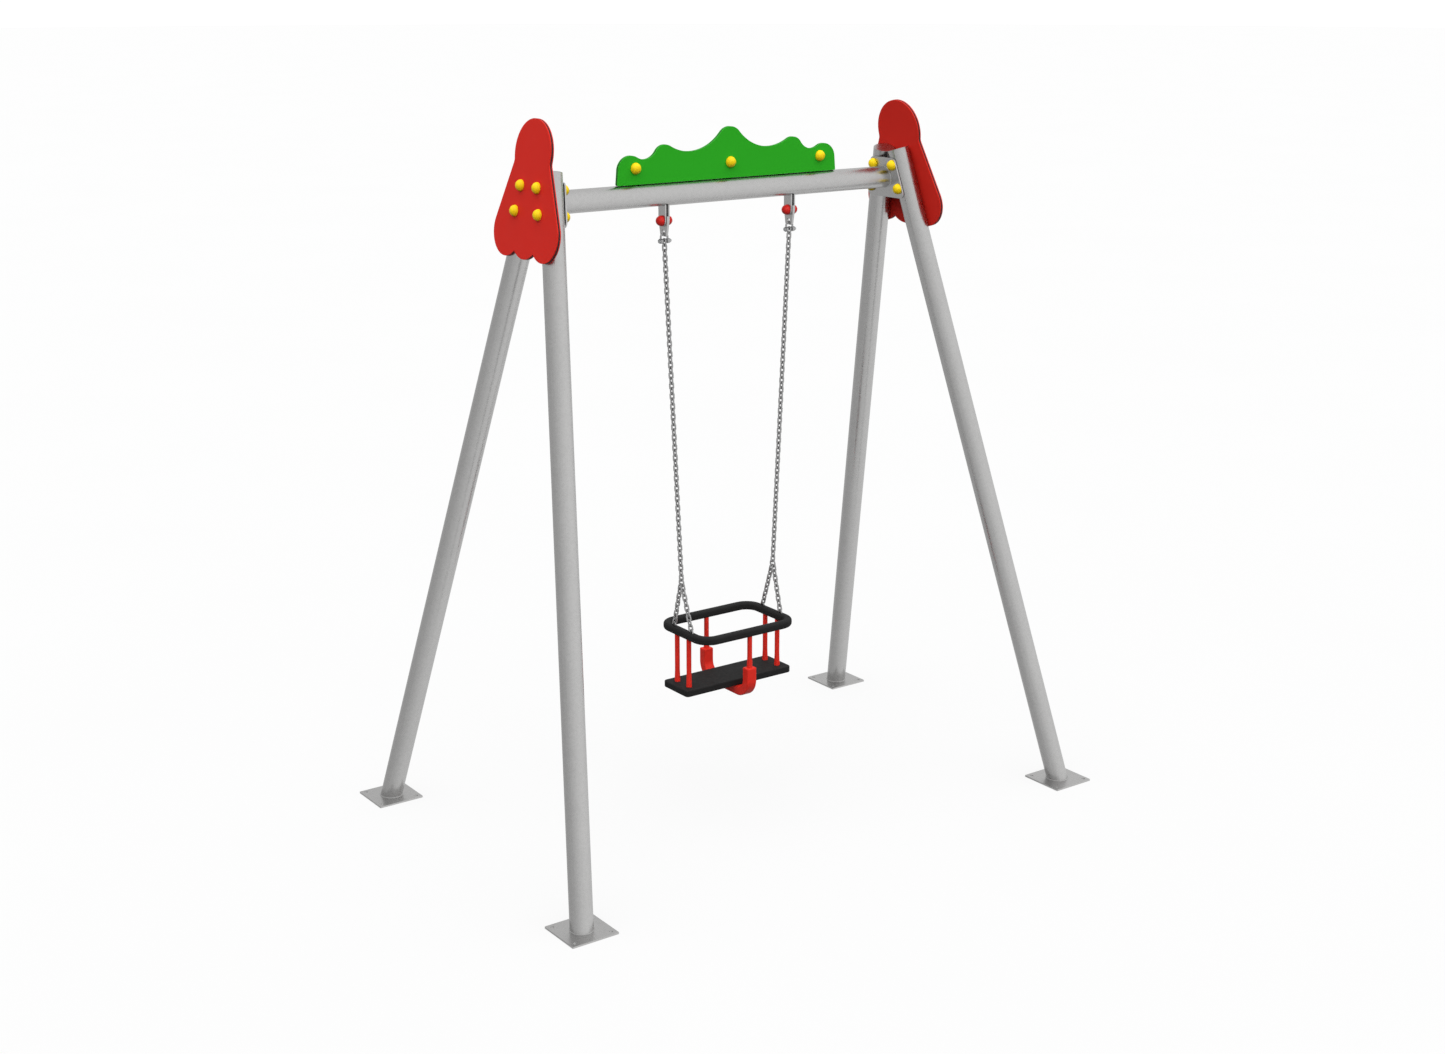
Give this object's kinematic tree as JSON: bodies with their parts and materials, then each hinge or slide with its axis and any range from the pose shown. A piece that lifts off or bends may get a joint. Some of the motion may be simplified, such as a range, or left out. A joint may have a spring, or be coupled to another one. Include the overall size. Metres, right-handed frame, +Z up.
{
  "type": "swing set",
  "caption": "Playground swing: two leaning tube A-frames joined by a crossbeam, coloured end and crest panels, and a cradle seat for a small child hung on chains that swing from pivoting links.",
  "frame": {"origin": "on the ground, midway between the four feet", "axes": "+X along the crossbeam to the right, +Y to the rear in the direction of swinging, +Z up"},
  "size_m": [2.25, 1.48, 2.4528],
  "materials": {
    "galvanised_steel": "satin galvanised tube and plate",
    "zinc_fasteners": "bright zinc",
    "chain_steel": "galvanised chain and shackle",
    "red_panel": "fine-grained solid polyethylene",
    "green_panel": "fine-grained solid polyethylene",
    "panel_core": "sawn dark polyethylene edge",
    "yellow_caps": "moulded, slight gloss",
    "red_caps": "moulded, slight gloss",
    "bronze": "turned bush",
    "seat_insert": "rolled sheet",
    "black_rubber": "moulded, fine pebble grain",
    "red_seat_plastic": "moulded, satin"
  },
  "bodies": {
    "frame": {"foot_plate_front_left": "galvanised_steel", "foot_plate_front_right": "galvanised_steel", "foot_plate_rear_left": "galvanised_steel", "foot_plate_rear_right": "galvanised_steel", "leg_tube_front_left": "galvanised_steel", "leg_tube_front_right": "galvanised_steel", "leg_tube_rear_left": "galvanised_steel", "leg_tube_rear_right": "galvanised_steel", "leg_end_caps": "galvanised_steel", "crossbeam": "galvanised_steel", "beam_flange_left": "galvanised_steel", "beam_flange_right": "galvanised_steel", "side_panel_outer_skin_left": "red_panel", "side_panel_outer_skin_right": "red_panel", "side_panel_core_left": "panel_core", "side_panel_core_right": "panel_core", "side_panel_inner_skin_left": "red_panel", "side_panel_inner_skin_right": "red_panel", "panel_bolts": "zinc_fasteners", "panel_nuts": "zinc_fasteners", "panel_caps_outer": "yellow_caps", "panel_caps_inner": "yellow_caps", "crest_front_skin": "green_panel", "crest_core": "panel_core", "crest_rear_skin": "green_panel", "crest_tabs": "galvanised_steel", "crest_bolts": "zinc_fasteners", "crest_nuts": "zinc_fasteners", "crest_caps": "yellow_caps", "hanger_fork_left": "galvanised_steel", "hanger_fork_right": "galvanised_steel", "pivot_bolts": "zinc_fasteners", "pivot_nuts": "zinc_fasteners", "pivot_caps": "red_caps"},
    "swing": {"hanger_link_left": "galvanised_steel", "hanger_link_right": "galvanised_steel", "pivot_bushes": "bronze", "shackle_bow_left": "chain_steel", "shackle_bow_right": "chain_steel", "shackle_pins": "chain_steel", "shackle_nuts": "chain_steel", "main_chain_left": "chain_steel", "main_chain_right": "chain_steel"},
    "seat": {"junction_rings": "chain_steel", "branch_chain_front_left": "chain_steel", "branch_chain_front_right": "chain_steel", "branch_chain_rear_left": "chain_steel", "branch_chain_rear_right": "chain_steel", "seat_ring": "black_rubber", "ring_anchor_pins": "zinc_fasteners", "seat_plank": "black_rubber", "plank_insert": "seat_insert", "end_posts": "red_seat_plastic", "centre_posts": "red_seat_plastic", "seat_strap": "red_seat_plastic", "strap_screws": "zinc_fasteners", "post_rods": "zinc_fasteners", "rod_nuts": "zinc_fasteners"}
  },
  "joints": [
    {"name": "swing", "type": "hinge", "parent": "frame", "child": "swing", "pos_m": [0, 0, 2.09695], "axis": [1, 0, 0], "range_deg": [-60, 60]},
    {"name": "seat_pitch", "type": "hinge", "parent": "swing", "child": "seat", "pos_m": [0, 0, 0.8307], "axis": [1, 0, 0], "range_deg": [-20, 20]}
  ]
}
